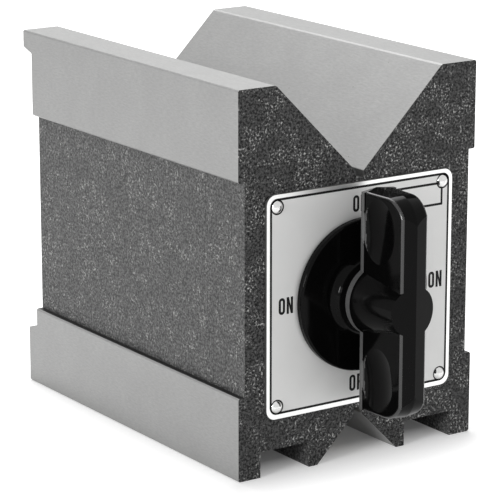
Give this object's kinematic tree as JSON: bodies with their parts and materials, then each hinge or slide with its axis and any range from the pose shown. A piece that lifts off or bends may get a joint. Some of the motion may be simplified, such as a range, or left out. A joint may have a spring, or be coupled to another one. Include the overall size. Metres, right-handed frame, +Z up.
{
  "type": "magnetic v-block",
  "caption": "Switchable magnetic V-block: ground work vee and side rails on two iron halves, and a magnet rotor turned by a black bar knob on an ON/OFF dial plate.",
  "frame": {"origin": "middle of the block's base, on the plane of the feet, half way along the block", "axes": "+X to the right as seen from the dial, +Y from the dial face to the rear, +Z up"},
  "size_m": [0.07, 0.1227, 0.095],
  "materials": {
    "pole_iron": "ground faces, dark grey enamel in the recesses and on the front",
    "separator_brass": "milled brass",
    "bush_bronze": "turned bearing bronze",
    "rotor_iron": "turned soft iron",
    "magnet": "ground magnet alloy",
    "shaft_steel": "turned stainless steel",
    "screw_steel": "zinc plated steel",
    "dial_aluminium": "satin aluminium with black printed marks",
    "rivet_steel": "bright steel",
    "cover_aluminium": "milled aluminium",
    "knob_phenolic": "gloss black moulded phenolic"
  },
  "bodies": {
    "block": {"left_pole_block": "pole_iron", "right_pole_block": "pole_iron", "upper_separator": "separator_brass", "lower_separator": "separator_brass", "separator_dowels": "separator_brass", "front_bush": "bush_bronze", "rear_cover": "cover_aluminium", "rear_bush": "bush_bronze", "rear_cover_screws": "screw_steel", "nameplate": "dial_aluminium", "nameplate_rivets": "rivet_steel"},
    "rotor": {"rotor_north_pole": "rotor_iron", "rotor_south_pole": "rotor_iron", "rotor_magnets": "magnet", "rotor_side_bars": "separator_brass", "rotor_front_cap": "separator_brass", "rotor_rear_cap": "separator_brass", "rotor_cap_screws": "screw_steel", "drive_shaft": "shaft_steel", "shaft_pin": "shaft_steel", "knob": "knob_phenolic", "knob_insert": "separator_brass", "knob_set_screw": "screw_steel"}
  },
  "joints": [
    {"name": "switch_turn", "type": "hinge", "parent": "block", "child": "rotor", "pos_m": [0, 0, 0.0417], "axis": [0, -1, 0], "continuous": true}
  ]
}
